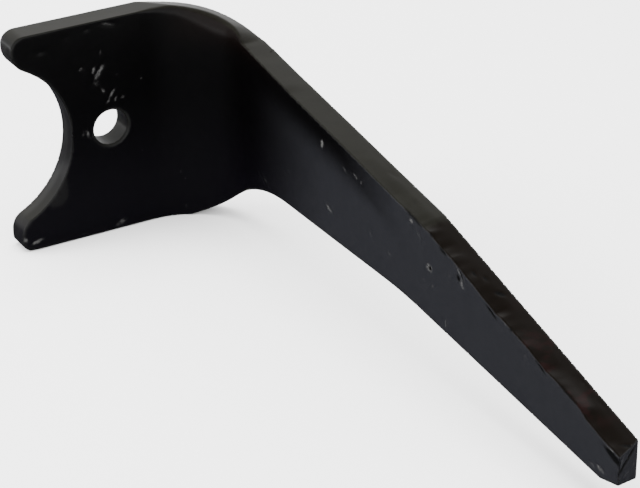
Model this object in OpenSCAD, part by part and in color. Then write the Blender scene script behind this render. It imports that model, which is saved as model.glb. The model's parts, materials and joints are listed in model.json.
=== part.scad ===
// Power harrow tine. One forging: a notched head plate with a pin hole,
// bent square into a long blade that tapers to a sheared tip.
// X runs along the head from the notch to the bend, the blade points along -Y
// and Z runs across the width. The origin is the middle of the pin hole.

/* [Bar] */
// Thickness of the flat bar that the tine is forged from
bar_t = 13; // [10:0.5:16]

/* [Head] */
// Height of the head's upper edge above the pin hole
head_up = 56; // [45:0.5:68]
// Depth of the head's lower edge below the pin hole
head_down = 54.5; // [45:0.5:68]
// Distance from the pin hole to the ends of the two horns
horn_reach = 49.3; // [42:0.1:58]
// Radius of the horn's upper outer corner
upper_corner_r = 6.5; // [1:0.5:10]
// Radius of the horn's lower outer corner
lower_corner_r = 4.5; // [1:0.5:10]

/* [Pin hole] */
// Diameter of the hole for the retaining pin
pin_d = 18; // [12:0.5:22]
// Width of the chamfer at both mouths of the pin hole
pin_chamfer = 0.8; // [0.2:0.1:2]

/* [Hub notch] */
// Radius of the round notch that seats against the rotor hub
notch_r = 43.5; // [35:0.5:53]
// Width of solid head between the bottom of the notch and the pin hole's axis
notch_wall = 20.5; // [15:0.5:26]
// Height of the notch's centre above the pin hole
notch_lift = 0.5; // [-2:0.5:2]
// Radius that rounds the horns into the notch
horn_r = 10.8; // [5:0.1:14]

/* [Bend] */
// Distance from the pin hole to the start of the bend
bend_start = 21.4; // [16:0.1:40]
// Inner radius of the bend
bend_r = 34; // [20:1:45]
// Distance from the start of the bend to where the upper edge's shoulder turns down
shoulder_at = 25; // [10:1:30]
// Slope of the shoulder down towards the blade, in degrees
shoulder_slope = 27; // [15:1:35]
// Radius of the rounded shoulder
shoulder_r = 86; // [40:1:120]
// Height of the shoulder over the head's upper edge where the bend starts
shoulder_lift = 2.3; // [0:0.1:4]
// Slope of the shoulder across the bar, from its squeezed inner side down, in degrees
swell = 14; // [0:1:20]
// Distance from the head's inner face to where the shoulder's inner side rolls down
roll_at = 27; // [20:0.5:34]
// Drop of the shoulder's inner side there, below the head's upper edge
roll_drop = 7.4; // [6:0.1:9]
// Slope of that roll down to the blade's upper edge, in degrees
roll_slope = 36; // [30:1:50]
// Distance from the start of the bend to where the lower edge starts to climb
climb_at = 16; // [8:0.5:25]
// Slope of the first, gentle part of the climb, in degrees
foot_slope = 20; // [17:1:30]
// Run of that first part
foot_run = 14; // [12:0.5:18]
// Slope of the steep part of the climb, in degrees
climb_slope = 42; // [34:0.5:46]
// Radius between the two parts of the climb
foot_r = 60; // [20:1:70]
// Radius of the hollow where the climb meets the blade's lower edge
climb_r = 44; // [20:1:60]

/* [Blade] */
// Length of the blade, from the head's inner face to the tip
blade_len = 334; // [250:0.5:400]
// Height of the upper edge's line above the pin hole, at the head's inner face
blade_up = 45.3; // [30:0.5:54]
// Slope of the upper edge before the knee, in degrees
upper_slope = 8.9; // [2:0.1:12]
// Distance from the head's inner face to the knee in the upper edge
knee_at = 188; // [120:1:230]
// Slope of the upper edge after the knee, in degrees
knee_slope = 15.4; // [10:0.1:16]
// Depth of the blade's straight lower edge below the pin hole
blade_down = 24.4; // [18:0.1:40]
// Distance from the head's inner face to where the lower edge turns down
turn_at = 174; // [120:1:230]
// Slope of the lower edge towards the tip, in degrees
lower_slope = 6.1; // [4:0.1:9]
// Radius that smooths the turn in the lower edge
turn_r = 280; // [50:10:400]

/* [Tip] */
// Angle of the sheared end across the thickness, in degrees
shear_angle = 22; // [0:1:35]
// Length of the bevel under the tip, along the blade
bevel_len = 12; // [0:0.5:20]
// Slope of the bevel along the blade, in degrees
bevel_slope = 13; // [5:1:40]
// Slope of the bevel across the thickness, in degrees
bevel_tilt = 10; // [0:1:20]

/* [Hidden] */
$fn = 128;
// Steps in a rounded outline corner
corner_steps = 24;
// Room that a cutter has beyond the piece it cuts
room = 5;
inner_y = -bar_t / 2;
notch_x = -(notch_wall + notch_r);
horn_x = -horn_reach + horn_r;
horn_z = sqrt(pow(notch_r + horn_r, 2) - pow(horn_x - notch_x, 2));
blade_x = bend_start + bend_r;
head_w = head_up + head_down;
reach = blade_len + blade_x + head_w;
tip_z = -blade_down - (blade_len - turn_at) * tan(lower_slope);
foot_rise = foot_run * tan(foot_slope);
crest_q = climb_at + foot_run + (head_down - blade_down - foot_rise) / tan(climb_slope);
level_q = crest_q + climb_r / 2;
// A whole number, so that the root and the blade meet exactly
level_d = ceil(sqrt(2) * level_q - bend_r);

function unit(v) = v / norm(v);

// Height of the blade's upper edge at distance d from the head's inner face
function upper_edge(d) = d < knee_at
    ? blade_up - d * tan(upper_slope)
    : blade_up - knee_at * tan(upper_slope) - (d - knee_at) * tan(knee_slope);

// Points of the arc that rounds corner b, between points a and c, to radius r
function rounded(a, b, c, r) =
    let (u = unit(a - b), v = unit(c - b))
    let (half = acos(u * v) / 2)
    let (centre = b + unit(u + v) * r / sin(half))
    let (from = b + u * r / tan(half) - centre)
    let (turn = (180 - 2 * half) * sign(cross(v, u)))
    [for (i = [0 : corner_steps])
        let (t = turn * i / corner_steps)
        centre + [from.x * cos(t) - from.y * sin(t), from.x * sin(t) + from.y * cos(t)]];

// A prism across the whole blade, from an outline in [distance from the head, height]
module across(points) {
    translate([reach, inner_y, 0])
        rotate([90, 0, -90])
            linear_extrude(height = 2 * reach)
                polygon(points);
}

// The flat bar of the head plate, up to the bend, with its horns and notch
module head_plate() {
    difference() {
        translate([-horn_reach, -bar_t / 2, -head_down])
            cube([horn_reach + bend_start, bar_t, head_w]);
        translate([0, 0, notch_lift]) {
            translate([notch_x, 0, 0])
                rotate([90, 0, 0])
                    cylinder(r = notch_r, h = 2 * bar_t, center = true);
            horn_mouth();
            mirror([0, 0, 1])
                horn_mouth();
        }
        outer_corner(upper_corner_r, head_up);
        mirror([0, 0, 1])
            outer_corner(lower_corner_r, head_down);
    }
}

// What is cut away where a horn rounds into the notch
module horn_mouth() {
    difference() {
        rotate([90, 0, 0])
            linear_extrude(height = 2 * bar_t, center = true)
                polygon([
                    [notch_x, 0],
                    [horn_x, horn_z],
                    [-horn_reach - room, horn_z],
                    [notch_x - room, 0]
                ]);
        translate([horn_x, 0, horn_z])
            rotate([90, 0, 0])
                cylinder(r = horn_r, h = 3 * bar_t, center = true);
    }
}

// What is cut away to round an outer corner of a horn at height z
module outer_corner(r, z) {
    translate([-horn_reach + r, 0, z - r])
        difference() {
            translate([-r - room, -bar_t, 0])
                cube([r + room, 2 * bar_t, r + room]);
            rotate([90, 0, 0])
                cylinder(r = r, h = 3 * bar_t, center = true);
        }
}

// The quarter turn between the head and the blade
module bend() {
    translate([bend_start, inner_y - bend_r, -head_down])
        rotate_extrude(angle = 90)
            translate([bend_r, 0])
                square([bar_t, head_w]);
}

// Straight bar as wide as the head, between two distances from the head's inner face
module blade_bar(from, to) {
    translate([blade_x, inner_y - to, -head_down])
        cube([bar_t, to - from, head_w]);
}

// Head, bend and the blade's root, with the climb of the lower edge cut into them
module root() {
    difference() {
        union() {
            head_plate();
            bend();
            blade_bar(bend_r, level_d);
        }
        under_climb();
    }
}

// The rest of the blade, with its lower edge cut
module blade() {
    difference() {
        blade_bar(level_d, blade_len + room);
        under_blade();
    }
}

// Everything under the blade's upper edge
module under_upper_edge() {
    across([
        [-bar_t - room, -head_w],
        [-bar_t - room, upper_edge(-bar_t - room)],
        [knee_at, upper_edge(knee_at)],
        [blade_len + 2 * room, upper_edge(blade_len + 2 * room)],
        [blade_len + 2 * room, -head_w]
    ]);
}

// A prism across the bend's diagonal, from an outline in [distance round the bend, height].
// Distances are taken along the diagonal, from the start of the bend. It tips by lean degrees.
module across_bend(z, lean, points) {
    translate([bend_start, inner_y, z])
        rotate([90 + lean, 0, -45])
            linear_extrude(height = 2 * reach, center = true)
                polygon(points);
}

// Everything under the shoulder that the upper edge makes round the bend
module under_shoulder() {
    corner = [shoulder_at, shoulder_lift];
    start = [-reach, shoulder_lift];
    end = corner + reach * [1, -tan(shoulder_slope)];
    across_bend(head_up, -swell, concat(
        [[-reach, -2 * reach], start],
        rounded(start, corner, end, shoulder_r),
        [end, [shoulder_at + reach, -2 * reach]]
    ));
}

// Everything under the line where the shoulder's inner side rolls down to the blade
module under_roll() {
    start = [roll_at, head_up - roll_drop] + reach * [-1, tan(roll_slope)];
    end = start + 2 * reach * [1, -tan(roll_slope)];
    across([[-reach, -2 * reach], start, end, [end.x, end.y - reach]]);
}

// Everything under the climb that the lower edge makes round the bend
module under_climb() {
    foot = [climb_at, blade_down - head_down];
    start = foot - [foot_run, foot_rise];
    knee = foot + [foot_run, foot_rise];
    crest = [crest_q, 0];
    end = [crest_q + reach, 0];
    across_bend(-blade_down, 0, concat(
        [start],
        rounded(start, knee, crest, foot_r),
        rounded(knee, crest, end, climb_r),
        [end, [end.x, -2 * head_w], [start.x, -2 * head_w]]
    ));
}

// Everything under the blade's lower edge
module under_blade() {
    start = [0, -blade_down];
    turn = [turn_at, -blade_down];
    end = [turn_at + reach, -blade_down - reach * tan(lower_slope)];
    across(concat(
        [[0, -2 * reach], start],
        rounded(start, turn, end, turn_r),
        [end, [end.x, -2 * reach]]
    ));
}

// What the shears take off past the end of the blade
module tip_shear() {
    translate([blade_x, inner_y - blade_len, -head_w])
        rotate([0, 0, shear_angle])
            translate([-reach, -reach, 0])
                cube([2 * reach, reach, 2 * head_w]);
}

// The bevel ground under the tip, deepest at the inner face
module tip_bevel() {
    translate([blade_x, inner_y - blade_len + bevel_len, tip_z + bevel_len * tan(lower_slope)])
        rotate([-bevel_slope, bevel_tilt, 0])
            translate([-room, -reach, -reach])
                cube([2 * reach, reach, reach]);
}

// The pin hole, with a chamfer at each mouth
module pin_hole() {
    mouth_r = pin_d / 2 + pin_chamfer;
    rotate([90, 0, 0])
        cylinder(d = pin_d, h = 2 * bar_t, center = true);
    for (side = [0, 180])
        rotate([90 + side, 0, 0])
            translate([0, 0, bar_t / 2 - pin_chamfer])
                cylinder(r1 = pin_d / 2, r2 = mouth_r + pin_chamfer, h = 2 * pin_chamfer);
}

// The whole forging
module tine() {
    color([0.09, 0.09, 0.1])
        difference() {
            intersection() {
                union() {
                    root();
                    blade();
                }
                union() {
                    under_upper_edge();
                    intersection() {
                        under_shoulder();
                        under_roll();
                    }
                }
            }
            tip_shear();
            tip_bevel();
            pin_hole();
        }
}

tine();
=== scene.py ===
"""Looks of a forged, black-painted power harrow tine on a plain pale floor.

The tine is one forging, so one mesh stands for it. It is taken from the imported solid, merged,
given an even grid of faces, rounded where the dies and the bending press left it round, and then
marked with the folds, dents and chips of its edge. All lengths are in metres.
"""

import json
import logging
import math
from dataclasses import dataclass, field
from enum import Enum

import bmesh
import bpy
import numpy as np
from mathutils import Matrix, Vector
from mathutils.bvhtree import BVHTree


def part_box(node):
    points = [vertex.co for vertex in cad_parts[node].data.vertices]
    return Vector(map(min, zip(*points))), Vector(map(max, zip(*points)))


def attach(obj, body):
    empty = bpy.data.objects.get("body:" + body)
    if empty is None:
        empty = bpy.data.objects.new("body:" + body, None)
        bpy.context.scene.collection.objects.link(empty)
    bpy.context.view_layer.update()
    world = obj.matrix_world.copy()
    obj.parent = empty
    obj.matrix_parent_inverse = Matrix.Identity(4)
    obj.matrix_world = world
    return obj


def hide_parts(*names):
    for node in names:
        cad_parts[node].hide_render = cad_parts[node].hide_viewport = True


MM = 0.001
LOG = logging.getLogger("tine")

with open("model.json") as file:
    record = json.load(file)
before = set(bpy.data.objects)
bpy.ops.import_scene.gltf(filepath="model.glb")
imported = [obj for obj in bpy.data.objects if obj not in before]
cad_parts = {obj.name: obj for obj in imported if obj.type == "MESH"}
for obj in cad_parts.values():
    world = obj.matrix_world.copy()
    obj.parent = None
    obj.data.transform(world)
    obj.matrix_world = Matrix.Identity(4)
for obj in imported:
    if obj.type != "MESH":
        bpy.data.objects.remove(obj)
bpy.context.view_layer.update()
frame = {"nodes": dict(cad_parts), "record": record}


class Side(Enum):
    """The sides of the tine that a mark can lie on."""

    HEAD = "inner side of the head"
    BLADE = "inner side of the blade"
    BACK = "upper edge of the blade"
    END = "sheared end"


# The axis that each side faces along, and which way
FACING = {Side.HEAD: (1, -1), Side.BLADE: (0, -1), Side.BACK: (2, 1), Side.END: (1, -1)}


def smooth_step(low: float, high: float, values: np.ndarray) -> np.ndarray:
    """Eases from 0 at low to 1 at high.

    Args:
        low: Value at which the result is 0.
        high: Value at which the result is 1.
        values: The values to ease.

    Returns:
        The eased values, between 0 and 1.
    """
    t = np.clip((values - low) / (high - low), 0.0, 1.0)
    return t * t * (3.0 - 2.0 * t)


def window(low: float, high: float, soft: float, values: np.ndarray) -> np.ndarray:
    """Is 1 between low and high and fades to 0 within soft beyond them.

    Args:
        low: Start of the stretch.
        high: End of the stretch.
        soft: Length of the fade at each end.
        values: The values to test.

    Returns:
        The share of each value that lies in the stretch.
    """
    return smooth_step(low - soft, low, values) * (1.0 - smooth_step(high, high + soft, values))


@dataclass
class Sizes:
    """Where things are on the tine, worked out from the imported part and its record."""

    low: Vector = field(default_factory=lambda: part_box("tine")[0])
    high: Vector = field(default_factory=lambda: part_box("tine")[1])
    blade_up: float = 45.3 * MM
    upper_slope: float = math.radians(8.9)
    knee_at: float = 188 * MM
    knee_slope: float = math.radians(15.4)
    end_slope: float = math.radians(22)
    bend_r: float = 34 * MM
    pin_r: float = 9 * MM
    inner_y: float = field(init=False)
    bar: float = field(init=False)
    blade_x: float = field(init=False)
    bend_x: float = field(init=False)
    bend_y: float = field(init=False)
    notch: Vector = field(init=False)
    notch_r: float = field(init=False)

    def __post_init__(self) -> None:
        """Reads the bar and the notch from the record's mounts."""
        mounts = {m["name"]: m for m in frame["record"]["mounts"]}
        self.inner_y = mounts["inner_face"]["pos_m"][1]
        self.bar = mounts["outer_face"]["pos_m"][1] - self.inner_y
        self.blade_x = self.high[0] - self.bar
        self.bend_x = self.blade_x - self.bend_r
        self.bend_y = self.inner_y - self.bend_r
        self.notch = Vector(mounts["hub_seat"]["pos_m"])
        self.notch_r = mounts["hub_seat"]["dims"]["r_mm"] * MM

    def upper_edge(self, along: np.ndarray) -> np.ndarray:
        """Gives the height of the blade's upper edge.

        Args:
            along: Distances from the head's inner face.

        Returns:
            The height above the pin hole at each distance.
        """
        before = self.blade_up - along * math.tan(self.upper_slope)
        knee = self.blade_up - self.knee_at * math.tan(self.upper_slope)
        after = knee - (along - self.knee_at) * math.tan(self.knee_slope)
        return np.where(along < self.knee_at, before, after)

    def way(self, points: np.ndarray) -> tuple[np.ndarray, np.ndarray, np.ndarray]:
        """Finds where points are along the bar and through its thickness.

        Args:
            points: Points in the metal, one row each.

        Returns:
            The way along the bar's inner face from the start of the bend, the distance from that
            face, and the direction away from it, one row of X and Y each.
        """
        x, y = points[:, 0] - self.bend_x, points[:, 1] - self.bend_y
        reach = np.hypot(x, y) + 1e-9
        on_head, on_blade = x < 0, (y < 0) & (x >= 0)
        quarter = self.bend_r * math.pi / 2
        way = np.where(on_head, x, np.where(on_blade, quarter - y, self.bend_r * np.arctan2(x, y)))
        inside = np.where(on_head, y, np.where(on_blade, x, reach)) - self.bend_r
        to_x = np.where(on_head, 0.0, np.where(on_blade, 1.0, x / reach))
        to_y = np.where(on_head, 1.0, np.where(on_blade, 0.0, y / reach))
        return way, inside, np.stack((to_x, to_y), axis=1)

    def on(self, side: Side, first: float, second: float) -> Vector:
        """Finds a point on one side of the tine.

        Args:
            side: The side that the point lies on.
            first: Distance along the side, in millimetres: X on the head, the distance from the
                head's inner face on the blade and its back, and X on the sheared end.
            second: Height in millimetres, or on the back the distance in from the inner arris.

        Returns:
            The point, in metres.
        """
        a, b = first * MM, second * MM
        if side is Side.HEAD:
            return Vector((a, self.inner_y, b))
        if side is Side.BLADE:
            return Vector((self.blade_x, self.inner_y - a, b))
        if side is Side.BACK:
            height = float(self.upper_edge(np.array([a]))[0])
            return Vector((self.blade_x + b, self.inner_y - a, height))
        return Vector((a, self.low[1] + (a - self.blade_x) * math.tan(self.end_slope), b))


@dataclass(frozen=True)
class Mark:
    """A dent, chip, scratch or scale pit left in the surface.

    Sizes are in millimetres and the turn is in degrees. A negative depth raises the metal, as a
    burr does. Bare says how far steel shows, and the last value is painted shade: how dark the
    hollow of a dent, fold, pit or tear, or the spot under a burr, is drawn.
    """

    side: Side
    first: float
    second: float
    length: float
    width: float
    depth: float
    turn: float = 0.0
    bare: float = 0.0
    painted_shade: float = 0.0


# Grit caught in the paint of the head: X and Z in millimetres, and how far it shows
GRIT = (
    (17, 22, 0.7), (14, 18, 0.5), (27, -12, 0.5), (47, -17, 0.7), (37, -19, 0.5),
    (32, -21, 0.4), (35, -31, 0.7), (37, -35, 0.6), (16, -16, 0.5), (8, -35, 0.4),
    (-28, -25, 0.5), (23, -46, 0.5), (48, 11, 0.6),
)

# Chips, scratches and folds, each with its side, place, length, width, depth, turn, bare and painted
# shade
MARKS: tuple[Mark, ...] = (
    # Knocks above the pin hole and near the head's top, one with painted shade in its dent
    Mark(Side.HEAD, -4, 40, 5, 1.6, 0.15, 75, 0.5),
    Mark(Side.HEAD, -8, 31.5, 3.2, 1.8, 0.2, 80, 1.3),
    Mark(Side.HEAD, -5, 30, 10, 2.4, 0.3, 55, 1.0),
    Mark(Side.HEAD, -6.5, 24.5, 5, 3, 0.25, -10, 0.55),
    Mark(Side.HEAD, -3.5, 20, 4, 1.8, 0.2, -65, 0.9),
    Mark(Side.HEAD, 1, 17.5, 7, 1.7, 0.25, 55, 0.85),
    Mark(Side.HEAD, 3, 14.5, 3.6, 1.6, 0.2, 60, 0.75),
    Mark(Side.HEAD, -1, 14, 3.4, 1.5, 0.2, 60, 0.7),
    Mark(Side.HEAD, 6.5, 14.5, 2.2, 1.8, 0.2, 0, 0.8),
    Mark(Side.HEAD, -14.5, 33.5, 3.4, 1.6, 0.2, 30, 0.7),
    Mark(Side.HEAD, 4, 27, 2.4, 1.8, 0.15, 0, 0.45),
    Mark(Side.HEAD, 0.5, 53.5, 9, 2.6, 0.2, -15, 0.55),
    Mark(Side.HEAD, -10.5, 52.5, 4, 1.6, 0.15, 0, 0.5),
    Mark(Side.HEAD, -21.5, 51, 2.6, 1.6, 0.15, 0, 0.4),
    Mark(Side.HEAD, -34.5, 46.5, 4.4, 2.2, 0.3, 0, 0.3, 0.4),
    # Pry marks between the notch and the pin hole
    Mark(Side.HEAD, -15, 0, 5, 1.6, 0.2, 80, 0.65),
    Mark(Side.HEAD, -12.5, -0.5, 6, 1.6, 0.25, 100, 0.8),
    Mark(Side.HEAD, -10, -2.5, 3, 1.6, 0.2, 10, 0.6),
    # Lower horn and the head's lower edge
    Mark(Side.HEAD, -42, -50.5, 6, 1.9, 0.4, 12, 1.4),
    Mark(Side.HEAD, -48.5, -48, 4, 2.6, 0.3, -40, 0.9),
    Mark(Side.HEAD, 3, -51.5, 6, 2.6, 0.5, 20, 0.9),
    Mark(Side.HEAD, -18, -53, 4, 1.8, 0.2, 5, 0.5),
    Mark(Side.HEAD, 37, -50, 2, 2, 0.3, 0, 0.8),
    *(Mark(Side.HEAD, first, second, 1.4, 1.4, 0.05, 0, bare) for first, second, bare in GRIT),
    # Scratches at the blade's root
    Mark(Side.BLADE, 47, -21.5, 7, 1.3, 0.2, -35, 0.5),
    Mark(Side.BLADE, 51, -20.5, 7, 1.3, 0.2, -30, 0.5),
    Mark(Side.BLADE, 54, -22.5, 5, 1.3, 0.2, -35, 0.4),
    Mark(Side.BLADE, 61, 23, 5, 1.6, 0.1, 0, 0.35),
    Mark(Side.BLADE, 73, -7, 4, 1.8, 0.15, -10, 0.4),
    # Chips along the blade's inner side, one dent with painted shade in it
    Mark(Side.BLADE, 105, 20, 3.8, 2.1, 0.25, 85, 1.5),
    Mark(Side.BLADE, 111, -10.5, 6, 2.2, 0.35, -25, 0.9),
    Mark(Side.BLADE, 125, 15, 5, 1.4, 0.2, -30, 0.55),
    Mark(Side.BLADE, 134, 15.5, 5, 1.7, 0.25, -15, 0.8),
    Mark(Side.BLADE, 139, 14.5, 3.4, 1.6, 0.25, 60, 0.7),
    Mark(Side.BLADE, 147, -7.5, 3.6, 1.6, 0.2, -50, 0.7),
    Mark(Side.BLADE, 163, -10.5, 2.8, 1.8, 0.2, 0, 0.7),
    Mark(Side.BLADE, 180.5, 14, 2.8, 2.2, 0.3, 0, 1.3),
    Mark(Side.BLADE, 187, 9, 7, 2, 0.25, -40, 0.5),
    Mark(Side.BLADE, 190.5, -11, 3, 1.7, 0.2, 20, 0.45),
    Mark(Side.BLADE, 198.5, -10.5, 3, 1.7, 0.2, 45, 0.6),
    Mark(Side.BLADE, 195.5, -3, 4.8, 4.0, 0.2, 0, 1.1),
    Mark(Side.BLADE, 195.8, -3, 2.2, 1.8, 0.5, 0, 0.0, 1.6),
    Mark(Side.BLADE, 211, 0, 3.4, 1.5, 0.15, 80, 0.5),
    Mark(Side.BLADE, 209, -24, 4.4, 1.6, 0.2, 85, 0.8),
    # Drag marks where the back meets the inner side, two with painted shade in their grooves
    Mark(Side.BLADE, 218.5, 5, 10, 1.2, 0.3, -47, 0.7),
    Mark(Side.BLADE, 221, 5, 9, 1.2, 0.2, -47, 0.6),
    Mark(Side.BLADE, 219.8, 5, 8, 1.1, 0.4, -47, 0.0, 0.9),
    Mark(Side.BLADE, 218, 2.5, 3, 1.8, 0.4, -45, 0.0, 1.5),
    Mark(Side.BLADE, 220.5, 0.8, 4.4, 2.2, 0.2, -45, 1.1),
    Mark(Side.BLADE, 254, -2.8, 9, 1.2, -0.05, -18, 0.5),
    Mark(Side.BLADE, 268, -11, 4, 3, 0.2, 20, 0.35),
    # Folds pressed into the arris, most with painted shade in their hollows
    Mark(Side.BLADE, 182, 16.6, 15, 1.5, 0.4, -13, 0.0, 1.3),
    Mark(Side.BLADE, 196.5, 13.8, 3, 1.6, 0.4, -15, 0.0, 1.2),
    Mark(Side.BLADE, 205.5, 10.2, 6, 1.6, 0.5, -20, 0.0, 1.3),
    Mark(Side.BLADE, 212.5, 10, 3, 1.5, 0.0, -20, 0.7),
    Mark(Side.BLADE, 243, -1.4, 9, 1.7, 0.5, -22, 0.0, 1.0),
    Mark(Side.BLADE, 257.5, -3.4, 1.8, 1.6, 0.4, 0, 0.0, 1.2),
    Mark(Side.BLADE, 272, -6.6, 2.2, 1.6, 0.4, 0, 0.0, 0.9),
    Mark(Side.BLADE, 279, -10.4, 9, 1.5, 0.5, -22, 0.0, 0.9),
    Mark(Side.BLADE, 280, -9.2, 9, 1.2, -0.05, -22, 0.4),
    Mark(Side.BLADE, 300, -14.4, 17, 1.7, 0.6, -14, 0.0, 1.6),
    # Burr and chips of the sheared tip, with a painted shadow under the burr
    Mark(Side.BLADE, 328, -23.6, 12, 1.3, -0.1, -10, 0.8),
    # Painted shadow under the tip's burr, in a shallow dent
    Mark(Side.BLADE, 330, -26, 12, 3.0, 0.3, -20, 0.0, 1.4),
    Mark(Side.BLADE, 322, -36, 5, 1.9, 0.4, -15, 1.2),
    Mark(Side.BLADE, 316.5, -37, 4, 2, 0.3, -15, 0.7),
    # Scale pits with painted shade in them, and rubbed spots on the back
    Mark(Side.BACK, 152, 9, 6, 1.6, 0.1, 10, 0.0, 0.4),
    Mark(Side.BACK, 174, 6, 5, 1.8, 0.1, -20, 0.0, 0.4),
    Mark(Side.BACK, 223.5, 4.2, 4, 1.5, 0.2, 0, 0.0, 0.9),
    Mark(Side.BACK, 228, 7.2, 3.6, 1.5, 0.2, 0, 0.0, 0.8),
    Mark(Side.BACK, 238, 7.9, 4.0, 1.8, 0.4, 40, 0.0, 1.6),
    Mark(Side.BACK, 276, 11, 4, 1.6, 0.05, 0, 0.35),
    Mark(Side.BACK, 294.5, 10.2, 6, 1.8, 0.1, 0, 0.4),
    Mark(Side.BACK, 306.5, 10.5, 6, 1.6, 0.1, 0, 0.35),
    Mark(Side.BACK, 330, 7, 6, 1.6, 0.2, 60, 0.0, 1.0),
    # Tears across the sheared end, the two deepest with painted shade in them
    Mark(Side.END, 60, -29.5, 14, 1.5, 0.5, 32, 0.0, 1.6),
    Mark(Side.END, 63, -27, 8, 1.3, 0.3, 38, 0.0, 1.0),
    Mark(Side.END, 57.5, -27.5, 6, 2, 0.1, 80, 0.7),
    Mark(Side.END, 66, -33, 7, 2, 0.1, 70, 0.5),
    Mark(Side.END, 61, -35, 7, 1.5, 0.2, 20, 0.5),
)

# Courses, in millimetres. The first two give the height of the upper edge's inner and
# outer arris, and the third how far the inner arris is rolled over, all three by the way along the
# bar from the start of the bend. The last gives the arris's rise by distance from the head's face.
SHOULDER_INNER = (
    (38, 50.2), (42, 48.8), (45.5, 46.6), (48.2, 43.9), (49.8, 42.3), (61, 39.9), (82, 36.0), (101, 32.7),
)
SHOULDER_OUTER = ((38, 46.1), (44, 43.3), (49, 41.4), (54, 40.3), (64, 38.4), (82, 35.4), (101, 32.5))
ROLLED = ((-8, 0), (4, 0.9), (14, 2.4), (26, 4.2), (33, 4.8), (39, 4.2), (44, 3.0), (48, 1.5), (51, 0))
ARRIS_WANDER = (
    (120, 0), (150, -0.5), (165, -0.8), (182, -0.7), (190, -1.0), (195, 0.1), (205, -0.6), (212, 0.3),
    (217, -0.2), (228, -0.2), (239, -0.9), (246, -1.2), (250, -0.3), (262, 0), (271, 0.3), (275, -0.3),
    (282, -0.5), (288, 0.4), (301, 0.8), (307, 0.8), (310, -0.6), (322, -0.8), (334, 0.2),
)


def course(points: tuple[tuple[float, float], ...], places: np.ndarray) -> np.ndarray:
    """Reads a listed course.

    Args:
        points: The course's corners, in millimetres.
        places: Where to read it, in metres.

    Returns:
        The course's values at those places, in metres.
    """
    where, values = np.array(points).T
    return np.interp(places / MM, where, values) * MM


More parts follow.
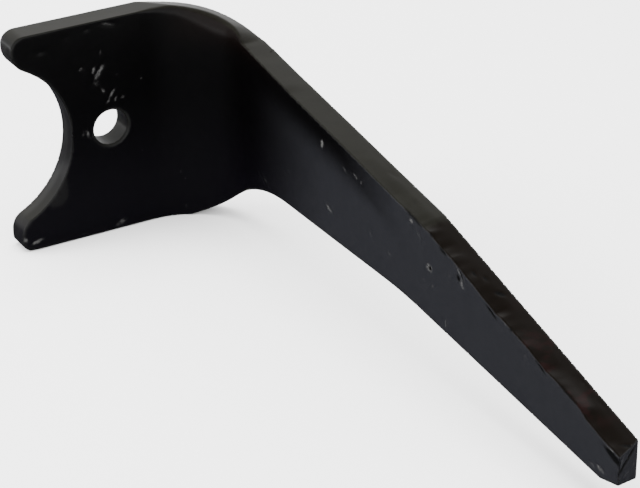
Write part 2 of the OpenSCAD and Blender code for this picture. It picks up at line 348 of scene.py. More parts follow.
@dataclass
class Forging:
    """The tine: a notched head plate bent square into a tapering blade."""

    sizes: Sizes
    node: str = "tine"
    grid: float = 0.86 * MM
    flat_angle: float = math.radians(0.4)
    sharp_angle: float = math.radians(30)
    arris_reach: float = 0.8
    arris_turn: float = 0.22
    shift_depth: float = 24 * MM
    horn_tips: tuple[float, float] = (-47 * MM, -41 * MM)
    roll_height: float = 2.1
    torn_from: float = 0.42
    torn_by: float = 0.7 * MM
    broad_swells: tuple[float, float, int] = (34 * MM, 0.16 * MM, 2)
    fine_swells: tuple[float, float, int] = (6 * MM, 0.05 * MM, 3)
    bore_pale: tuple[float, float] = (0.55, 0.35)
    wall_pale: tuple[float, float] = (0.45, 0.4)
    tab_pale: float = 0.4
    # Rubbed paint on the lower inner arris, and the painted highlight added to it near the end of the
    # bend
    rim_rubbed_and_highlight: tuple[float, float] = (0.35, 0.5)
    round_facing: float = 0.95
    round_reach: float = 0.3 * MM
    shoulder_span: tuple[float, float] = (-10 * MM, 112 * MM)
    drawn_down: tuple[float, float, float] = (44 * MM, 88 * MM, 8 * MM)
    softened: tuple[float, float, float] = (2 * MM, 55 * MM, 3 * MM)
    wall_reach: float = 1.2 * MM
    torn_ends: tuple[float, float] = (36 * MM, 42 * MM)
    mark_facing: tuple[float, float] = (0.3, 0.75)
    mark_reach: float = 4 * MM
    tab_x: tuple[float, float, float] = (-33 * MM, -25 * MM, 1 * MM)
    tab_z: tuple[float, float, float] = (-34 * MM, -22 * MM, 1.2 * MM)
    # Where the painted highlight lies along the bar
    rim_highlight_stretch: tuple[float, float, float] = (34 * MM, 62 * MM, 12 * MM)
    edge_gain: float = 4.0
    wander_reach: float = 9 * MM
    ragged_height: float = 0.1
    ragged_waves: tuple[float, float] = (1.3 * MM, 3.7 * MM)

    def build(self) -> bpy.types.Object:
        """Makes the forging's mesh.

        Returns:
            The finished piece, riding on the root body.
        """
        pattern = self._blank()
        piece = self._even_grid(pattern)
        self._true_rounds(piece)
        self._draw_shoulder(piece, pattern)
        bpy.data.objects.remove(pattern)
        self._tear_notch(piece)
        self._uneven(piece, *self.broad_swells)
        self._uneven(piece, *self.fine_swells)
        self._forge(piece)
        self._keep_to_box(piece)
        self._read_edges(piece)
        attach(piece, "root")
        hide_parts(self.node)
        return piece

    def _blank(self) -> bpy.types.Object:
        """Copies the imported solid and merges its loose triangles.

        Returns:
            The copy, which the even mesh is drawn on to.
        """
        source = frame["nodes"][self.node]
        blank = bpy.data.objects.new("blank", source.data.copy())
        bpy.context.collection.objects.link(blank)
        bpy.ops.object.select_all(action="DESELECT")
        blank.select_set(True)
        bpy.context.view_layer.objects.active = blank
        bpy.ops.object.mode_set(mode="EDIT")
        bpy.ops.mesh.select_all(action="SELECT")
        bpy.ops.mesh.remove_doubles(threshold=0.002 * MM)
        bpy.ops.mesh.dissolve_limited(angle_limit=self.flat_angle)
        bpy.ops.object.mode_set(mode="OBJECT")
        return blank

    def _even_grid(self, pattern: bpy.types.Object) -> bpy.types.Object:
        """Covers the pattern in small, even faces that can be worked.

        Args:
            pattern: The merged solid.

        Returns:
            The even mesh, drawn tight on to the pattern.
        """
        piece = bpy.data.objects.new("forging", pattern.data.copy())
        bpy.context.collection.objects.link(piece)
        bpy.ops.object.select_all(action="DESELECT")
        piece.select_set(True)
        bpy.context.view_layer.objects.active = piece
        piece.data.remesh_voxel_size = self.grid
        piece.data.remesh_voxel_adaptivity = 0.0
        piece.data.use_remesh_fix_poles = False
        piece.data.use_remesh_preserve_attributes = False
        bpy.ops.object.voxel_remesh()
        on_arris, spots = self._arris_spots(piece, pattern)
        draw = piece.modifiers.new("draw", "SHRINKWRAP")
        draw.target = pattern
        draw.wrap_method = "NEAREST_SURFACEPOINT"
        bpy.ops.object.modifier_apply(modifier=draw.name)
        points = self._points(piece)
        points[on_arris] = spots[on_arris]
        self._place(piece, points)
        return piece

    def _arris_spots(
        self, piece: bpy.types.Object, pattern: bpy.types.Object
    ) -> tuple[np.ndarray, np.ndarray]:
        """Finds which vertices of the even mesh stand for the solid's arrises.

        Args:
            piece: The even mesh, whose corners are still cut.
            pattern: The merged solid.

        Returns:
            Whether each vertex belongs on an arris, and the point of the arris nearest to it.
        """
        points, normals = self._points(piece), self._normals(piece)
        reach = self.arris_reach * self.grid
        nearest, spots = np.full(len(points), reach), points.copy()
        form = bmesh.new()
        form.from_mesh(pattern.data)
        for edge in form.edges:
            turn = edge.calc_face_angle(0.0)
            if turn < self.sharp_angle:
                continue
            start, end = (np.array(corner.co) for corner in edge.verts)
            above = points > np.minimum(start, end) - reach
            inside = above & (points < np.maximum(start, end) + reach)
            turned = np.ones(len(points), dtype=bool)
            for face in edge.link_faces:
                turned &= normals @ np.array(face.normal) < math.cos(self.arris_turn * turn)
            near = np.nonzero(inside.all(axis=1) & turned)[0]
            run = end - start
            share = np.clip((points[near] - start) @ run / (run @ run), 0, 1)
            foot = start + share[:, None] * run
            gap = np.linalg.norm(points[near] - foot, axis=1)
            closer = gap < nearest[near]
            nearest[near[closer]], spots[near[closer]] = gap[closer], foot[closer]
        form.free()
        return nearest < reach, spots

    def _true_rounds(self, piece: bpy.types.Object) -> None:
        """Makes the bend, the notch and the pin hole truly round, and rounds the horns' tips.

        Args:
            piece: The gridded piece.
        """
        s = self.sizes
        points, normals = self._points(piece), self._normals(piece)
        bent = (points[:, 0] > s.bend_x) & (points[:, 1] > s.bend_y)
        notched = points[:, 0] < s.notch[0] + s.notch_r + MM
        rounds = (
            ((s.bend_x, s.bend_y), (0, 1), s.bend_r, bent),
            ((s.bend_x, s.bend_y), (0, 1), s.bend_r + s.bar, bent),
            ((s.notch[0], s.notch[2]), (0, 2), s.notch_r, notched),
            ((0.0, 0.0), (0, 2), s.pin_r, np.ones(len(points), dtype=bool)),
        )
        for centre, axes, radius, within in rounds:
            arm = points[:, axes] - np.array(centre)
            length = np.linalg.norm(arm, axis=1) + 1e-9
            outward = arm / length[:, None]
            faces = np.abs(np.einsum("ij,ij->i", outward, normals[:, axes])) > self.round_facing
            chosen = within & faces & (np.abs(length - radius) < self.round_reach)
            for column, axis in enumerate(axes):
                moved = centre[column] + outward[:, column] * radius
                points[:, axis] = np.where(chosen, moved, points[:, axis])
        self._place(piece, points)
        self._soften(piece, 1 - smooth_step(*self.horn_tips, points[:, 0]), 4)

    def _draw_shoulder(self, piece: bpy.types.Object, pattern: bpy.types.Object) -> None:
        """Draws the upper edge down round the bend, and rolls its inner arris over.

        Args:
            piece: The gridded piece.
            pattern: The solid that it was made from.
        """
        s = self.sizes
        points = self._points(piece)
        way, inside, away = s.way(points)
        first, last = self.shoulder_span
        chosen = np.nonzero((way > first) & (way < last) & (points[:, 2] > 0))[0]
        way, inside, away = way[chosen], inside[chosen], away[chosen]
        top = self._tops(pattern, points[chosen], inside, away)
        depth = top - points[chosen, 2]

        inner, outer = course(SHOULDER_INNER, way), course(SHOULDER_OUTER, way)
        wanted = inner + (outer - inner) * np.clip(inside / s.bar, 0, 1)
        share = window(*self.drawn_down, way)
        share = share * (1 - smooth_step(2 * MM, self.shift_depth, depth))
        points[chosen, 2] += (wanted - top) * share

        rolled = np.maximum(course(ROLLED, way), 1e-6)
        tall = rolled * self.roll_height
        over, down = 1 - np.maximum(inside, 0) / rolled, 1 - np.maximum(depth, 0) / tall
        reach = np.maximum(np.hypot(over, down), 1.0)
        corner = (over > 0) & (down > 0) & (rolled > 0.2 * MM)
        sideways = np.where(corner, (1 - over / reach) * rolled - np.maximum(inside, 0), 0)
        points[chosen, :2] += away * sideways[:, None]
        points[chosen, 2] -= np.where(corner, (1 - down / reach) * tall - np.maximum(depth, 0), 0)
        self._place(piece, points)
        near = np.zeros(len(points))
        near[chosen] = 1 - smooth_step(10 * MM, 20 * MM, depth)
        self._soften(piece, near * window(*self.softened, s.way(points)[0]), 5)

    def _tops(
        self, pattern: bpy.types.Object, points: np.ndarray, inside: np.ndarray, away: np.ndarray
    ) -> np.ndarray:
        """Measures how high the solid is above each point.

        Args:
            pattern: The solid.
            points: The points, one row each.
            inside: Their distances from the bar's inner face.
            away: The directions away from that face.

        Returns:
            The height of the upper edge over each point.
        """
        tree = BVHTree.FromObject(pattern, bpy.context.evaluated_depsgraph_get())
        held = np.clip(inside, 1.2 * MM, self.sizes.bar - 1.2 * MM)
        plan = points[:, :2] + away * (held - inside)[:, None]
        tops = points[:, 2].copy()
        for index, (x, y) in enumerate(plan):
            hit = tree.ray_cast(Vector((x, y, 1.0)), Vector((0, 0, -1)))[0]
            if hit is not None:
                tops[index] = hit[2]
        return tops

    def _tear_notch(self, piece: bpy.types.Object) -> None:
        """Opens the notch towards the outer side, where the punch tore the steel.

        Args:
            piece: The worked piece.
        """
        s = self.sizes
        points = self._points(piece)
        arm = points[:, (0, 2)] - np.array((s.notch[0], s.notch[2]))
        length = np.linalg.norm(arm, axis=1)
        wall = (np.abs(length - s.notch_r) < self.wall_reach) & (points[:, 1] > s.inner_y)
        depth = (points[:, 1] - s.inner_y) / s.bar
        ends = 1 - smooth_step(*self.torn_ends, np.abs(points[:, 2]))
        push = smooth_step(self.torn_from, 1.0, depth) * self.torn_by * ends * wall
        points[:, (0, 2)] += arm / length[:, None] * push[:, None]
        self._place(piece, points)

    def _uneven(self, piece: bpy.types.Object, size: float, height: float, depth: int) -> None:
        """Gives the surface the soft unevenness of forged steel.

        Args:
            piece: The rounded piece.
            size: Size of the swells.
            height: Height from trough to crest.
            depth: How many finer layers of swells lie on the first.
        """
        swell = bpy.data.textures.new("swell", "CLOUDS")
        swell.noise_scale = size
        swell.noise_depth = depth
        away = np.hypot(*self._points(piece)[:, (0, 2)].T) > self.sizes.pin_r + 3 * MM
        group = piece.vertex_groups.new(name="forged")
        group.add(np.nonzero(away)[0].tolist(), 1.0, "REPLACE")
        push = piece.modifiers.new("swell", "DISPLACE")
        push.texture = swell
        push.texture_coords = "LOCAL"
        push.strength = height
        push.mid_level = 0.6
        push.vertex_group = group.name
        bpy.ops.object.modifier_apply(modifier=push.name)
        piece.vertex_groups.clear()

    def _soften(self, piece: bpy.types.Object, share: np.ndarray, rounds: int) -> None:
        """Smooths a part of the piece, which rounds its arrises.

        Args:
            piece: The piece to smooth.
            share: How much each vertex takes part, from 0 to 1.
            rounds: How many times the surface is evened out.
        """
        group = piece.vertex_groups.new(name="soften")
        steps = np.round(share * 10).astype(int)
        for level in range(1, 11):
            chosen = np.nonzero(steps == level)[0].tolist()
            group.add(chosen, level / 10, "REPLACE")
        smooth = piece.modifiers.new("soften", "SMOOTH")
        smooth.factor = 0.5
        smooth.iterations = rounds
        smooth.vertex_group = group.name
        bpy.ops.object.modifier_apply(modifier=smooth.name)
        piece.vertex_groups.clear()

    def _points(self, piece: bpy.types.Object) -> np.ndarray:
        """Reads the piece's vertices.

        Args:
            piece: The piece to read.

        Returns:
            One row of X, Y and Z for each vertex.
        """
        points = np.empty(len(piece.data.vertices) * 3)
        piece.data.vertices.foreach_get("co", points)
        return points.reshape(-1, 3)

    def _normals(self, piece: bpy.types.Object) -> np.ndarray:
        """Reads which way each vertex faces.

        Args:
            piece: The piece to read.

        Returns:
            One direction for each vertex.
        """
        normals = np.empty(len(piece.data.vertices) * 3)
        piece.data.vertices.foreach_get("normal", normals)
        return normals.reshape(-1, 3)

    def _place(self, piece: bpy.types.Object, points: np.ndarray) -> None:
        """Writes the piece's vertices back."""
        piece.data.vertices.foreach_set("co", points.ravel())
        piece.data.update()

    def _forge(self, piece: bpy.types.Object) -> None:
        """Moves the surface as the dies, the shears and use have left it.

        Args:
            piece: The rounded piece.
        """
        points, normals = self._points(piece), self._normals(piece)
        lift, bare, painted_shade = (np.zeros(len(points)) for _ in range(3))
        for mark in MARKS:
            shape = self._shape(mark, points, normals)
            lift -= mark.depth * MM * shape
            bare = np.maximum(bare, mark.bare * shape)
            # Painted shade: how dark each mark's hollow, or the spot under the tip's burr, is drawn
            painted_shade = np.maximum(painted_shade, mark.painted_shade * shape)
        points = points + normals * lift[:, None]
        self._wander(points)
        self._place(piece, points)
        self._store(piece, "bare", bare)
        # The painted shade goes to the finish as its own value
        self._store(piece, "painted_shade", painted_shade)
        self._store(piece, "pale", self._pale(points, normals))

    def _store(self, piece: bpy.types.Object, name: str, values: np.ndarray) -> None:
        """Stores one value for each vertex, for the finish to read."""
        layer = piece.data.attributes.new(name, "FLOAT", "POINT")
        layer.data.foreach_set("value", np.clip(values, -1, 1))

    def _shape(self, mark: Mark, points: np.ndarray, normals: np.ndarray) -> np.ndarray:
        """Works out how far each vertex lies in a mark.

        Args:
            mark: The mark.
            points: The piece's vertices.
            normals: The directions that they face.

        Returns:
            A share from 0 to 1 for each vertex.
        """
        offset = points - np.array(self.sizes.on(mark.side, mark.first, mark.second))
        run = offset[:, 0] if mark.side in (Side.HEAD, Side.END) else -offset[:, 1]
        rise = offset[:, 0] if mark.side is Side.BACK else offset[:, 2]
        across, sign = FACING[mark.side]
        facing = smooth_step(*self.mark_facing, sign * normals[:, across])
        cos, sin = math.cos(math.radians(mark.turn)), math.sin(math.radians(mark.turn))
        long = (run * cos + rise * sin) / (mark.length * MM / 2)
        wide = (rise * cos - run * sin) / (mark.width * MM / 2)
        near = np.abs(offset[:, across]) < self.mark_reach
        return np.exp(-(long**2 + wide**2)) * facing * near

    def _pale(self, points: np.ndarray, normals: np.ndarray) -> np.ndarray:
        """Finds where the paint is rubbed pale: the bore, the notch's wall and the lower arrises, with a
        painted highlight added on the lower inner arris where the bend meets the blade.

        Args:
            points: The piece's vertices.
            normals: The directions that they face.

        Returns:
            How pale each vertex is, from 0 to 1.
        """
        s = self.sizes
        x, y, z = points.T
        through = (y - s.inner_y) / s.bar
        on_head = x < s.bend_x
        least, more = self.bore_pale
        bore = (np.hypot(x, z) < s.pin_r + 1.0 * MM) * (least + more * smooth_step(0.1, 0.3, through))
        to_notch = np.hypot(x - s.notch[0], z - s.notch[2])
        upright = np.abs(normals[:, 1]) < 0.8
        wall = (to_notch < s.notch_r + 1.6 * MM) & (x < -8 * MM) & upright
        horn = (x < -30 * MM) & upright & (normals[:, 2] < 0.7) & (np.abs(z) < 51 * MM)
        least, more = self.wall_pale
        torn = least + more * smooth_step(self.torn_from - 0.06, self.torn_from + 0.04, through)
        torn = torn * (1 - 0.6 * smooth_step(0, 22 * MM, -z))
        seat = np.where(wall | horn, torn, 0)
        tab = window(*self.tab_x, x) * window(*self.tab_z, z)
        tab = tab * (normals[:, 1] < -0.8) * (to_notch < s.notch_r + 7 * MM) * self.tab_pale
        way, inside, _ = s.way(points)
        # Rubbed paint along the lower inner arrises, and a painted highlight on it where the bend meets
        # the blade
        low = smooth_step(0.15, 0.6, -normals[:, 2]) * (1 - smooth_step(0.5, 0.8, inside / s.bar))
        least, more = self.rim_rubbed_and_highlight
        rim = low * (least + more * window(*self.rim_highlight_stretch, way))
        return np.maximum.reduce((bore * on_head, seat * on_head, tab * on_head, rim))

    def _wander(self, points: np.ndarray) -> None:
        """Lets the arris between the blade's inner side and back wander past the knee.

        Args:
            points: The piece's vertices, which are moved.
        """
        s = self.sizes
        along = s.inner_y - points[:, 1]
        over = np.maximum(points[:, 0] - s.blade_x, 0)
        below = np.maximum(s.upper_edge(along) - points[:, 2], 0)
        short, long = self.ragged_waves
        ragged = self.ragged_height * np.sin(along / short) * np.sin(along / long + 1.0)
        past_knee = smooth_step(s.knee_at - 14 * MM, s.knee_at, along)
        change = course(ARRIS_WANDER, along) + ragged * MM * past_knee
        reach = self.wander_reach
        near = (1 - smooth_step(0, reach, over)) * (1 - smooth_step(0, reach, below))
        points[:, 2] += change * near * (along > 0.1)

    def _keep_to_box(self, piece: bpy.types.Object) -> None:
        """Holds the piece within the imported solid's box.

        Args:
            piece: The worked piece.
        """
        low, high = np.array(self.sizes.low), np.array(self.sizes.high)
        self._place(piece, np.clip(self._points(piece), low, high))

    def _read_edges(self, piece: bpy.types.Object) -> None:
        """Stores how strongly the surface bulges at each vertex, for the wear on its arrises.

        Args:
            piece: The worked piece.
        """
        mesh = piece.data
        points, normals = self._points(piece), self._normals(piece)
        ends = np.empty(len(mesh.edges) * 2, dtype=int)
        mesh.edges.foreach_get("vertices", ends)
        a, b = ends.reshape(-1, 2).T
        step = points[b] - points[a]
        size = np.linalg.norm(step, axis=1) + 1e-12
        turned = np.einsum("ij,ij->i", normals[b] - normals[a], step) / size
        count = len(points)
        around = np.bincount(a, minlength=count) + np.bincount(b, minlength=count)
        around = np.maximum(around, 1)
        bulge = np.bincount(a, turned, count) + np.bincount(b, turned, count)
        bulge /= around
        for _ in range(2):
            spread = np.bincount(a, bulge[b], count) + np.bincount(b, bulge[a], count)
            bulge = 0.5 * bulge + 0.5 * spread / around
        on_horns = 1 - smooth_step(-30 * MM, -20 * MM, points[:, 0])
        rubbed = 0.25 + 0.75 * np.maximum(on_horns, smooth_step(-0.1, 0.2, -normals[:, 2]))
        self._store(piece, "edge", bulge * self.edge_gain * rubbed)
        for polygon in mesh.polygons:
            polygon.use_smooth = True


def new_group(
    name: str, inputs: dict[str, tuple[str, object]], outputs: dict[str, str]
) -> bpy.types.NodeTree:
    """Starts a shader node group with named sockets.

    Args:
        name: The group's name.
        inputs: Socket type and default by input name.
        outputs: Socket type by output name.

    Returns:
        The group, with its input and output nodes placed.
    """
    group = bpy.data.node_groups.new(name, "ShaderNodeTree")
    for label, (kind, default) in inputs.items():
        socket = group.interface.new_socket(label, in_out="INPUT", socket_type=kind)
        socket.default_value = default
    for label, kind in outputs.items():
        group.interface.new_socket(label, in_out="OUTPUT", socket_type=kind)
    group.nodes.new("NodeGroupInput").name = "in"
    group.nodes.new("NodeGroupOutput").name = "out"
    return group


def add(
    tree: bpy.types.NodeTree, kind: str, values: dict[str, object] | None = None, **settings: object
) -> bpy.types.Node:
    """Adds a node and sets it up.

    Args:
        tree: The node tree.
        kind: The node's type, without its common prefix.
        values: Socket values by input name or index.
        **settings: The node's own properties.

    Returns:
        The node.
    """
    node = tree.nodes.new("ShaderNode" + kind)
    for key, value in settings.items():
        setattr(node, key, value)
    for key, value in (values or {}).items():
        node.inputs[key].default_value = value
    return node


def math_node(
    tree: bpy.types.NodeTree, operation: str, first: object, second: object = None, third: object = None
) -> bpy.types.NodeSocket:
    """Adds a Math node.

    Args:
        tree: The node tree.
        operation: What the node does.
        first: A socket or a number.
        second: A socket, a number, or None.
        third: A socket, a number, or None.

    Returns:
        The node's output socket.
    """
    node = add(tree, "Math", operation=operation)
    for slot, value in enumerate((first, second, third)):
        if isinstance(value, bpy.types.NodeSocket):
            tree.links.new(value, node.inputs[slot])
        elif value is not None:
            node.inputs[slot].default_value = value
    return node.outputs[0]


def ramp(
    tree: bpy.types.NodeTree, value: bpy.types.NodeSocket, low: float, high: float
) -> bpy.types.NodeSocket:
    """Spreads a stretch of values over 0 to 1, with soft ends.

    Args:
        tree: The node tree.
        value: The value to spread.
        low: What becomes 0.
        high: What becomes 1.

    Returns:
        The spread value's socket.
    """
    node = add(tree, "MapRange", {"From Min": low, "From Max": high}, interpolation_type="SMOOTHSTEP")
    tree.links.new(value, node.inputs["Value"])
    return node.outputs["Result"]


def blend_colours(
    tree: bpy.types.NodeTree, share: bpy.types.NodeSocket, under: object, over: object
) -> bpy.types.NodeSocket:
    """Lays one colour over another.

    Args:
        tree: The node tree.
        share: How much of the upper colour shows.
        under: A colour or a colour socket.
        over: A colour or a colour socket.

    Returns:
        The mixed colour's socket.
    """
    node = add(tree, "Mix", data_type="RGBA")
    tree.links.new(share, node.inputs["Factor"])
    for label, value in (("A", under), ("B", over)):
        socket = next(i for i in node.inputs if i.name == label and i.type == "RGBA")
        if isinstance(value, bpy.types.NodeSocket):
            tree.links.new(value, socket)
        else:
            socket.default_value = (*value, 1.0)
    return next(o for o in node.outputs if o.type == "RGBA")


def grain_group() -> bpy.types.NodeTree:
    """Makes the skin of sprayed paint over forging scale.

    Returns:
        A group that gives a height for bumps and an unevenness between 0 and 1.
    """
    g = new_group(
        "forged_skin",
        {"Fine": ("NodeSocketFloat", 900.0), "Coarse": ("NodeSocketFloat", 120.0)},
        {"Height": "NodeSocketFloat", "Patches": "NodeSocketFloat"},
    )
    place = add(g, "TexCoord").outputs["Object"]
    ends = []
    for label, detail in (("Fine", 3.0), ("Coarse", 5.0)):
        noise = add(g, "TexNoise", {"Detail": detail, "Roughness": 0.6})
        g.links.new(place, noise.inputs["Vector"])
        g.links.new(g.nodes["in"].outputs[label], noise.inputs["Scale"])
        ends.append(noise.outputs["Fac"])
    fine = math_node(g, "MULTIPLY", ends[0], 0.35)
    height = math_node(g, "MULTIPLY_ADD", ends[1], 0.5, fine)
    g.links.new(height, g.nodes["out"].inputs["Height"])
    g.links.new(ends[1], g.nodes["out"].inputs["Patches"])
    return g


def wear_and_painted_light_group() -> bpy.types.NodeTree:
    """Makes the wear, the painted highlight and the painted shade that the forging's marks call for,
    broken up by a grain.

    Returns:
        A group that gives masks of thin paint, bare steel, rubbed paint with a painted highlight, and
        painted shade.
    """
    g = new_group(
        "wear_and_painted_light",
        {"Reach": ("NodeSocketFloat", 0.35), "Break": ("NodeSocketFloat", 300.0)},
        dict.fromkeys(("Thin", "Bare", "Pale", "Painted_shade"), "NodeSocketFloat"),
    )
    place = add(g, "TexCoord").outputs["Object"]
    noise = add(g, "TexNoise", {"Detail": 6.0, "Roughness": 0.65})
    g.links.new(place, noise.inputs["Vector"])
    g.links.new(g.nodes["in"].outputs["Break"], noise.inputs["Scale"])
    broken = math_node(g, "MULTIPLY_ADD", noise.outputs["Fac"], 1.6, -0.3)
    chipped = math_node(g, "MULTIPLY_ADD", noise.outputs["Fac"], 3.4, -0.8)
    read = {}
    for name in ("edge", "bare", "pale", "painted_shade"):
        read[name] = add(g, "Attribute", attribute_name=name).outputs["Fac"]
    thin = math_node(g, "MULTIPLY", ramp(g, read["edge"], 0.1, 0.9), broken)
    thin = math_node(g, "MULTIPLY", thin, g.nodes["in"].outputs["Reach"])
    uneven = math_node(g, "ADD", noise.outputs["Fac"], 0.5)
    bare = ramp(g, math_node(g, "MULTIPLY", read["bare"], chipped), 0.2, 1.0)
    # Rubbed paint, with the painted highlight on the bend's lower arris
    pale = math_node(g, "MULTIPLY", read["pale"], math_node(g, "ADD", broken, 0.45))
    # Painted shade in the marks' hollows
    painted_shade = ramp(g, math_node(g, "MULTIPLY", read["painted_shade"], uneven), 0.1, 0.8)
    for label, mask in (("Thin", thin), ("Bare", bare), ("Pale", pale), ("Painted_shade", painted_shade)):
        g.links.new(mask, g.nodes["out"].inputs[label])
    return g


def placed(
    tree: bpy.types.NodeTree, group: bpy.types.NodeTree, values: dict[str, object]
) -> bpy.types.Node:
    """Places a node group in a material.

    Args:
        tree: The material's node tree.
        group: The group.
        values: Input values by name.

    Returns:
        The group's node.
    """
    node = add(tree, "Group", node_tree=group)
    for key, value in values.items():
        node.inputs[key].default_value = value
    return node


@dataclass(frozen=True)
class BlackPaint:
    """Semi-gloss black paint over forged steel, with marks, rubbed spots and scale, and painted
    reflection, sheen, highlight and shade.
    """

    black: tuple[float, float, float] = (0.0005, 0.0004, 0.0005)
    violet: tuple[float, float, float] = (0.0017, 0.0014, 0.0024)
    brown: tuple[float, float, float] = (0.0024, 0.0012, 0.0009)
    # Painted reflection: the grey-blue that the blade's sides show of the pale floor
    painted_reflection: tuple[float, float, float] = (0.0080, 0.0082, 0.0098)
    # Dust and a painted sheen, laid on surfaces that face up
    dust_and_sheen: tuple[float, float, float] = (0.0056, 0.0054, 0.0040)
    scale: tuple[float, float, float] = (0.0018, 0.0011, 0.0006)
    rust: tuple[float, float, float] = (0.0048, 0.0012, 0.0010)
    # Colour of thin and rubbed paint, also used for the painted highlight on the bend's lower arris
    worn_and_highlight: tuple[float, float, float] = (0.0088, 0.0088, 0.0082)
    steel: tuple[float, float, float] = (0.042, 0.042, 0.041)
    # Colour of the painted shade in the marks' hollows
    painted_shade: tuple[float, float, float] = (0.0003, 0.0003, 0.0003)
    roughness: float = 0.30
    specular: float = 0.25
    scale_start: float = 14 * MM
    scale_fade: float = 5 * MM
    rust_begins: tuple[float, float] = (240 * MM, 300 * MM)
    rust_ends: tuple[float, float] = (312 * MM, 328 * MM)

    def dress(self, piece: bpy.types.Object, sizes: Sizes) -> None:
        """Gives the piece this finish.

        Args:
            piece: The forging.
            sizes: Where things are on it.
        """
        material = bpy.data.materials.new("black_paint")
        material.use_nodes = True
        tree = material.node_tree
        shader = tree.nodes["Principled BSDF"]
        shader.inputs["Specular IOR Level"].default_value = self.specular
        skin = placed(tree, grain_group(), {"Fine": 900.0, "Coarse": 110.0})
        wear = placed(tree, wear_and_painted_light_group(), {"Reach": 0.6, "Break": 620.0})

        split = add(tree, "SeparateXYZ")
        tree.links.new(add(tree, "NewGeometry").outputs["Normal"], split.inputs["Vector"])
        place = add(tree, "SeparateXYZ")
        tree.links.new(add(tree, "TexCoord").outputs["Object"], place.inputs["Vector"])
        upward = ramp(tree, split.outputs["Z"], 0.35, 0.95)
        colour = self._sides(tree, sizes, place, split, skin.outputs["Patches"])
        colour = self._back(tree, sizes, place, upward, skin.outputs["Patches"], colour)
        colour = blend_colours(tree, wear.outputs["Thin"], colour, self.worn_and_highlight)
        # Rubbed paint, and the painted highlight along the bend's lower inner arris
        colour = blend_colours(tree, wear.outputs["Pale"], colour, self.worn_and_highlight)
        colour = blend_colours(tree, wear.outputs["Bare"], colour, self.steel)
        # Painted shade in the marks' hollows and under the tip's burr
        colour = blend_colours(tree, wear.outputs["Painted_shade"], colour, self.painted_shade)
        tree.links.new(colour, shader.inputs["Base Color"])

        rough = math_node(tree, "MULTIPLY_ADD", skin.outputs["Patches"], 0.08, self.roughness - 0.04)
        dulled = math_node(tree, "ADD", wear.outputs["Bare"], wear.outputs["Painted_shade"])
        rough = math_node(tree, "ADD", rough, math_node(tree, "MULTIPLY", dulled, 0.25))
        tree.links.new(rough, shader.inputs["Roughness"])

        bump = add(tree, "Bump", {"Strength": 0.3, "Distance": 0.1 * MM})
        tree.links.new(skin.outputs["Height"], bump.inputs["Height"])
        tree.links.new(bump.outputs["Normal"], shader.inputs["Normal"])
        piece.data.materials.clear()
        piece.data.materials.append(material)

    def _sides(
        self,
        tree: bpy.types.NodeTree,
        sizes: Sizes,
        place: bpy.types.Node,
        facing: bpy.types.Node,
        patches: bpy.types.NodeSocket,
    ) -> bpy.types.NodeSocket:
        """Colours the upright sides: near black on the head, with a painted grey-blue reflection of the
        floor along the blade.

        Args:
            tree: The material's node tree.
            sizes: Where things are on the tine.
            place: The node that splits the position.
            facing: The node that splits the normal.
            patches: Broad unevenness of the paint.

        Returns:
            The sides' colour.
        """
        low = math_node(tree, "SUBTRACT", 1.0, ramp(tree, place.outputs["Z"], -45 * MM, 20 * MM))
        colour = blend_colours(tree, low, self.black, self.violet)
        along = math_node(tree, "MULTIPLY", place.outputs["Y"], -1.0)
        near_blade = ramp(tree, place.outputs["X"], 25 * MM, 45 * MM)
        near_top = ramp(tree, place.outputs["Z"], 30 * MM, 50 * MM)
        near_bend = math_node(tree, "MULTIPLY", near_blade, near_top)
        colour = blend_colours(tree, near_bend, colour, self.brown)
        inward = ramp(tree, math_node(tree, "MULTIPLY", facing.outputs["X"], -1.0), 0.3, 0.9)
        outward = ramp(tree, facing.outputs["X"], 0.3, 0.9)
        forward = ramp(tree, math_node(tree, "MULTIPLY", facing.outputs["Y"], -1.0), 0.3, 0.9)
        sides = math_node(tree, "MAXIMUM", math_node(tree, "ADD", inward, outward), forward)
        # Painted reflection of the floor on the blade's sides, growing past the bend
        past_bend = ramp(tree, along, 1.2 * sizes.bend_r, 3.6 * sizes.bend_r)
        painted_reflection = math_node(tree, "MULTIPLY", sides, past_bend)
        edge = math_node(tree, "MULTIPLY_ADD", along, -math.tan(sizes.upper_slope), sizes.blade_up)
        below = ramp(tree, math_node(tree, "SUBTRACT", edge, place.outputs["Z"]), 2 * MM, 20 * MM)
        late = ramp(tree, along, 3.5 * sizes.bend_r, 5.5 * sizes.bend_r)
        painted_reflection = math_node(tree, "MULTIPLY", painted_reflection, math_node(tree, "MAXIMUM", below, late))
        painted_reflection = math_node(tree, "MULTIPLY", painted_reflection, math_node(tree, "MULTIPLY_ADD", patches, 0.5, 0.75))
        return blend_colours(tree, painted_reflection, colour, self.painted_reflection)

    def _back(
        self,
        tree: bpy.types.NodeTree,
        sizes: Sizes,
        place: bpy.types.Node,
        upward: bpy.types.NodeSocket,
        patches: bpy.types.NodeSocket,
        colour: bpy.types.NodeSocket,
    ) -> bpy.types.NodeSocket:
        """Colours the upper edge: dust and a painted sheen on the up-facing surfaces before the knee,
        brown scale and a little rust past it.

        Args:
            tree: The material's node tree.
            sizes: Where things are on the tine.
            place: The node that splits the position.
            upward: How far the surface faces up.
            patches: Broad unevenness of the paint.
            colour: The colour so far.

        Returns:
            The colour with the upper edge laid over it.
        """
        along = math_node(tree, "MULTIPLY", place.outputs["Y"], -1.0)
        ragged = math_node(tree, "ADD", along, math_node(tree, "MULTIPLY", patches, 14 * MM))
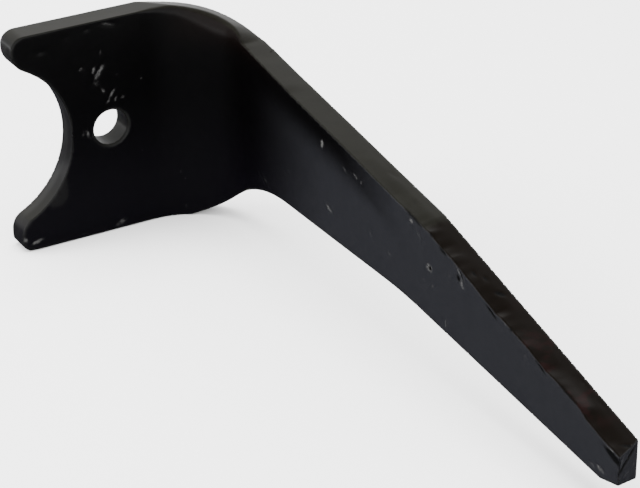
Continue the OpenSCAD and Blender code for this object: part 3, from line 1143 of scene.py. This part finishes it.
        # Dust and a painted sheen, stronger the more a surface faces up
        dust_and_sheen_share = math_node(tree, "MULTIPLY", upward, math_node(tree, "MULTIPLY_ADD", patches, 0.6, 0.6))
        colour = blend_colours(tree, dust_and_sheen_share, colour, self.dust_and_sheen)
        start = sizes.knee_at + self.scale_start
        past = math_node(tree, "MULTIPLY", upward, ramp(tree, ragged, start, start + self.scale_fade))
        colour = blend_colours(tree, past, colour, self.scale)
        begins = ramp(tree, along, *self.rust_begins)
        rust = math_node(tree, "MULTIPLY", begins, ramp(tree, patches, 0.5, 0.62))
        fades = math_node(tree, "SUBTRACT", 1.0, ramp(tree, along, *self.rust_ends))
        rust = math_node(tree, "MULTIPLY", math_node(tree, "MULTIPLY", rust, fades), upward)
        return blend_colours(tree, rust, colour, self.rust)


@dataclass(frozen=True)
class Softbox:
    """A square area light that reflections don't show."""

    name: str
    place: tuple[float, float, float]
    size: float
    power: float


@dataclass
class Studio:
    """A pale floor, a pale room whose ceiling looks dim in reflections, soft light and the camera."""

    sizes: Sizes
    room_light: float = 3.0
    wall_gloss: float = 0.85
    ceiling_gloss: float = 0.08
    wall_top: tuple[float, float] = (0.56, 0.84)
    floor_size: float = 8.0
    floor_gap: float = 0.5 * MM
    card: float = 0.35
    card_colour: tuple[float, float, float] = (0.014, 0.014, 0.017)
    far_colour: tuple[float, float, float] = (0.5, 0.5, 0.5)
    softboxes: tuple[Softbox, ...] = (
        Softbox("overhead", (0.0, 0.1, 1.6), 1.4, 60.0),
        Softbox("left_back", (-1.4, 0.6, 0.9), 1.0, 40.0),
    )
    aim: tuple[float, float, float] = (0.02, -0.15, 0.0)
    lens: float = 140.6
    camera_place: tuple[float, float, float] = (-0.4656, -0.9986, 0.5020)
    camera_right: tuple[float, float, float] = (0.8612, -0.5082, -0.0062)
    camera_back: tuple[float, float, float] = (-0.4487, -0.7660, 0.4602)

    def build(self) -> None:
        """Makes the floor, the lights and the camera."""
        self._floor()
        self._lights()
        self._camera()

    def _floor(self) -> None:
        """Lays the floor under the head's lower edge."""
        bpy.ops.object.select_all(action="DESELECT")
        height = self.sizes.low[2] - self.floor_gap
        bpy.ops.mesh.primitive_plane_add(size=self.floor_size, location=(0, 0, height))
        floor = bpy.context.object
        floor.name = "floor"
        material = bpy.data.materials.new("pale_floor")
        material.use_nodes = True
        tree = material.node_tree
        shader = tree.nodes["Principled BSDF"]
        shader.inputs["Roughness"].default_value = 0.9
        shader.inputs["Specular IOR Level"].default_value = 0.1
        noise = add(tree, "TexNoise", {"Scale": 3.0, "Detail": 2.0})
        tree.links.new(add(tree, "TexCoord").outputs["Object"], noise.inputs["Vector"])
        colour = blend_colours(tree, noise.outputs["Fac"], (0.86, 0.86, 0.86), (0.9, 0.9, 0.9))
        tree.links.new(colour, shader.inputs["Base Color"])
        self._dim_in_gloss(tree, shader)
        floor.data.materials.append(material)

    def _dim_in_gloss(self, tree: bpy.types.NodeTree, surface: bpy.types.Node) -> None:
        """Makes the floor near the tine look dim in reflections, as a black card under it does.

        Args:
            tree: The floor's node tree.
            surface: The floor's shader.
        """
        dark = add(tree, "BsdfDiffuse")
        apart = add(tree, "VectorMath", operation="LENGTH")
        tree.links.new(add(tree, "TexCoord").outputs["Object"], apart.inputs[0])
        far = ramp(tree, apart.outputs["Value"], self.card, 3 * self.card)
        shade = blend_colours(tree, far, self.card_colour, self.far_colour)
        tree.links.new(shade, dark.inputs["Color"])
        seen = add(tree, "LightPath").outputs["Is Glossy Ray"]
        mix = add(tree, "MixShader")
        tree.links.new(seen, mix.inputs[0])
        tree.links.new(surface.outputs[0], mix.inputs[1])
        tree.links.new(dark.outputs[0], mix.inputs[2])
        tree.links.new(mix.outputs[0], tree.nodes["Material Output"].inputs["Surface"])

    def _lights(self) -> None:
        """Hangs the softboxes and sets the pale surroundings."""
        world = bpy.data.worlds.new("pale_room")
        bpy.context.scene.world = world
        world.use_nodes = True
        tree = world.node_tree
        background = tree.nodes["Background"]
        background.inputs["Color"].default_value = (1.0, 1.0, 1.0, 1.0)
        heights = add(tree, "SeparateXYZ")
        tree.links.new(add(tree, "TexCoord").outputs["Generated"], heights.inputs["Vector"])
        high = ramp(tree, heights.outputs["Z"], self.wall_top[0], self.wall_top[1])
        wall = add(tree, "MapRange", {"To Min": self.wall_gloss, "To Max": self.ceiling_gloss})
        tree.links.new(high, wall.inputs["Value"])
        strength = add(tree, "Mix", {"A": self.room_light}, data_type="FLOAT")
        tree.links.new(add(tree, "LightPath").outputs["Is Glossy Ray"], strength.inputs["Factor"])
        tree.links.new(wall.outputs["Result"], strength.inputs["B"])
        tree.links.new(strength.outputs["Result"], background.inputs["Strength"])
        for box in self.softboxes:
            data = bpy.data.lights.new(box.name, "AREA")
            data.shape = "SQUARE"
            data.size = box.size
            data.energy = box.power
            light = bpy.data.objects.new(box.name, data)
            light.location = box.place
            light.visible_glossy = False
            turned = Vector(self.aim) - light.location
            light.rotation_euler = turned.to_track_quat("-Z", "Y").to_euler()
            bpy.context.collection.objects.link(light)

    def _camera(self) -> None:
        """Stands the camera at the viewing angle, level to within half a degree."""
        data = bpy.data.cameras.new("camera")
        data.sensor_width = 36.0
        data.lens = self.lens
        camera = bpy.data.objects.new("camera", data)
        camera.location = self.camera_place
        right = Vector(self.camera_right).normalized()
        back = Vector(self.camera_back).normalized()
        up = back.cross(right).normalized()
        right = up.cross(back)
        camera.rotation_euler = Matrix((right, up, back)).transposed().to_euler()
        bpy.context.collection.objects.link(camera)
        bpy.context.scene.camera = camera


def main() -> None:
    """Builds the tine and the studio in order."""
    logging.basicConfig(level=logging.INFO, format="%(name)s: %(message)s")
    sizes = Sizes()
    forging = Forging(sizes).build()
    LOG.info("forging: %d faces", len(forging.data.polygons))
    BlackPaint().dress(forging, sizes)
    LOG.info("black paint on the forging")
    Studio(sizes).build()
    LOG.info("floor, lights and camera")


if __name__ == "__main__":
    main()
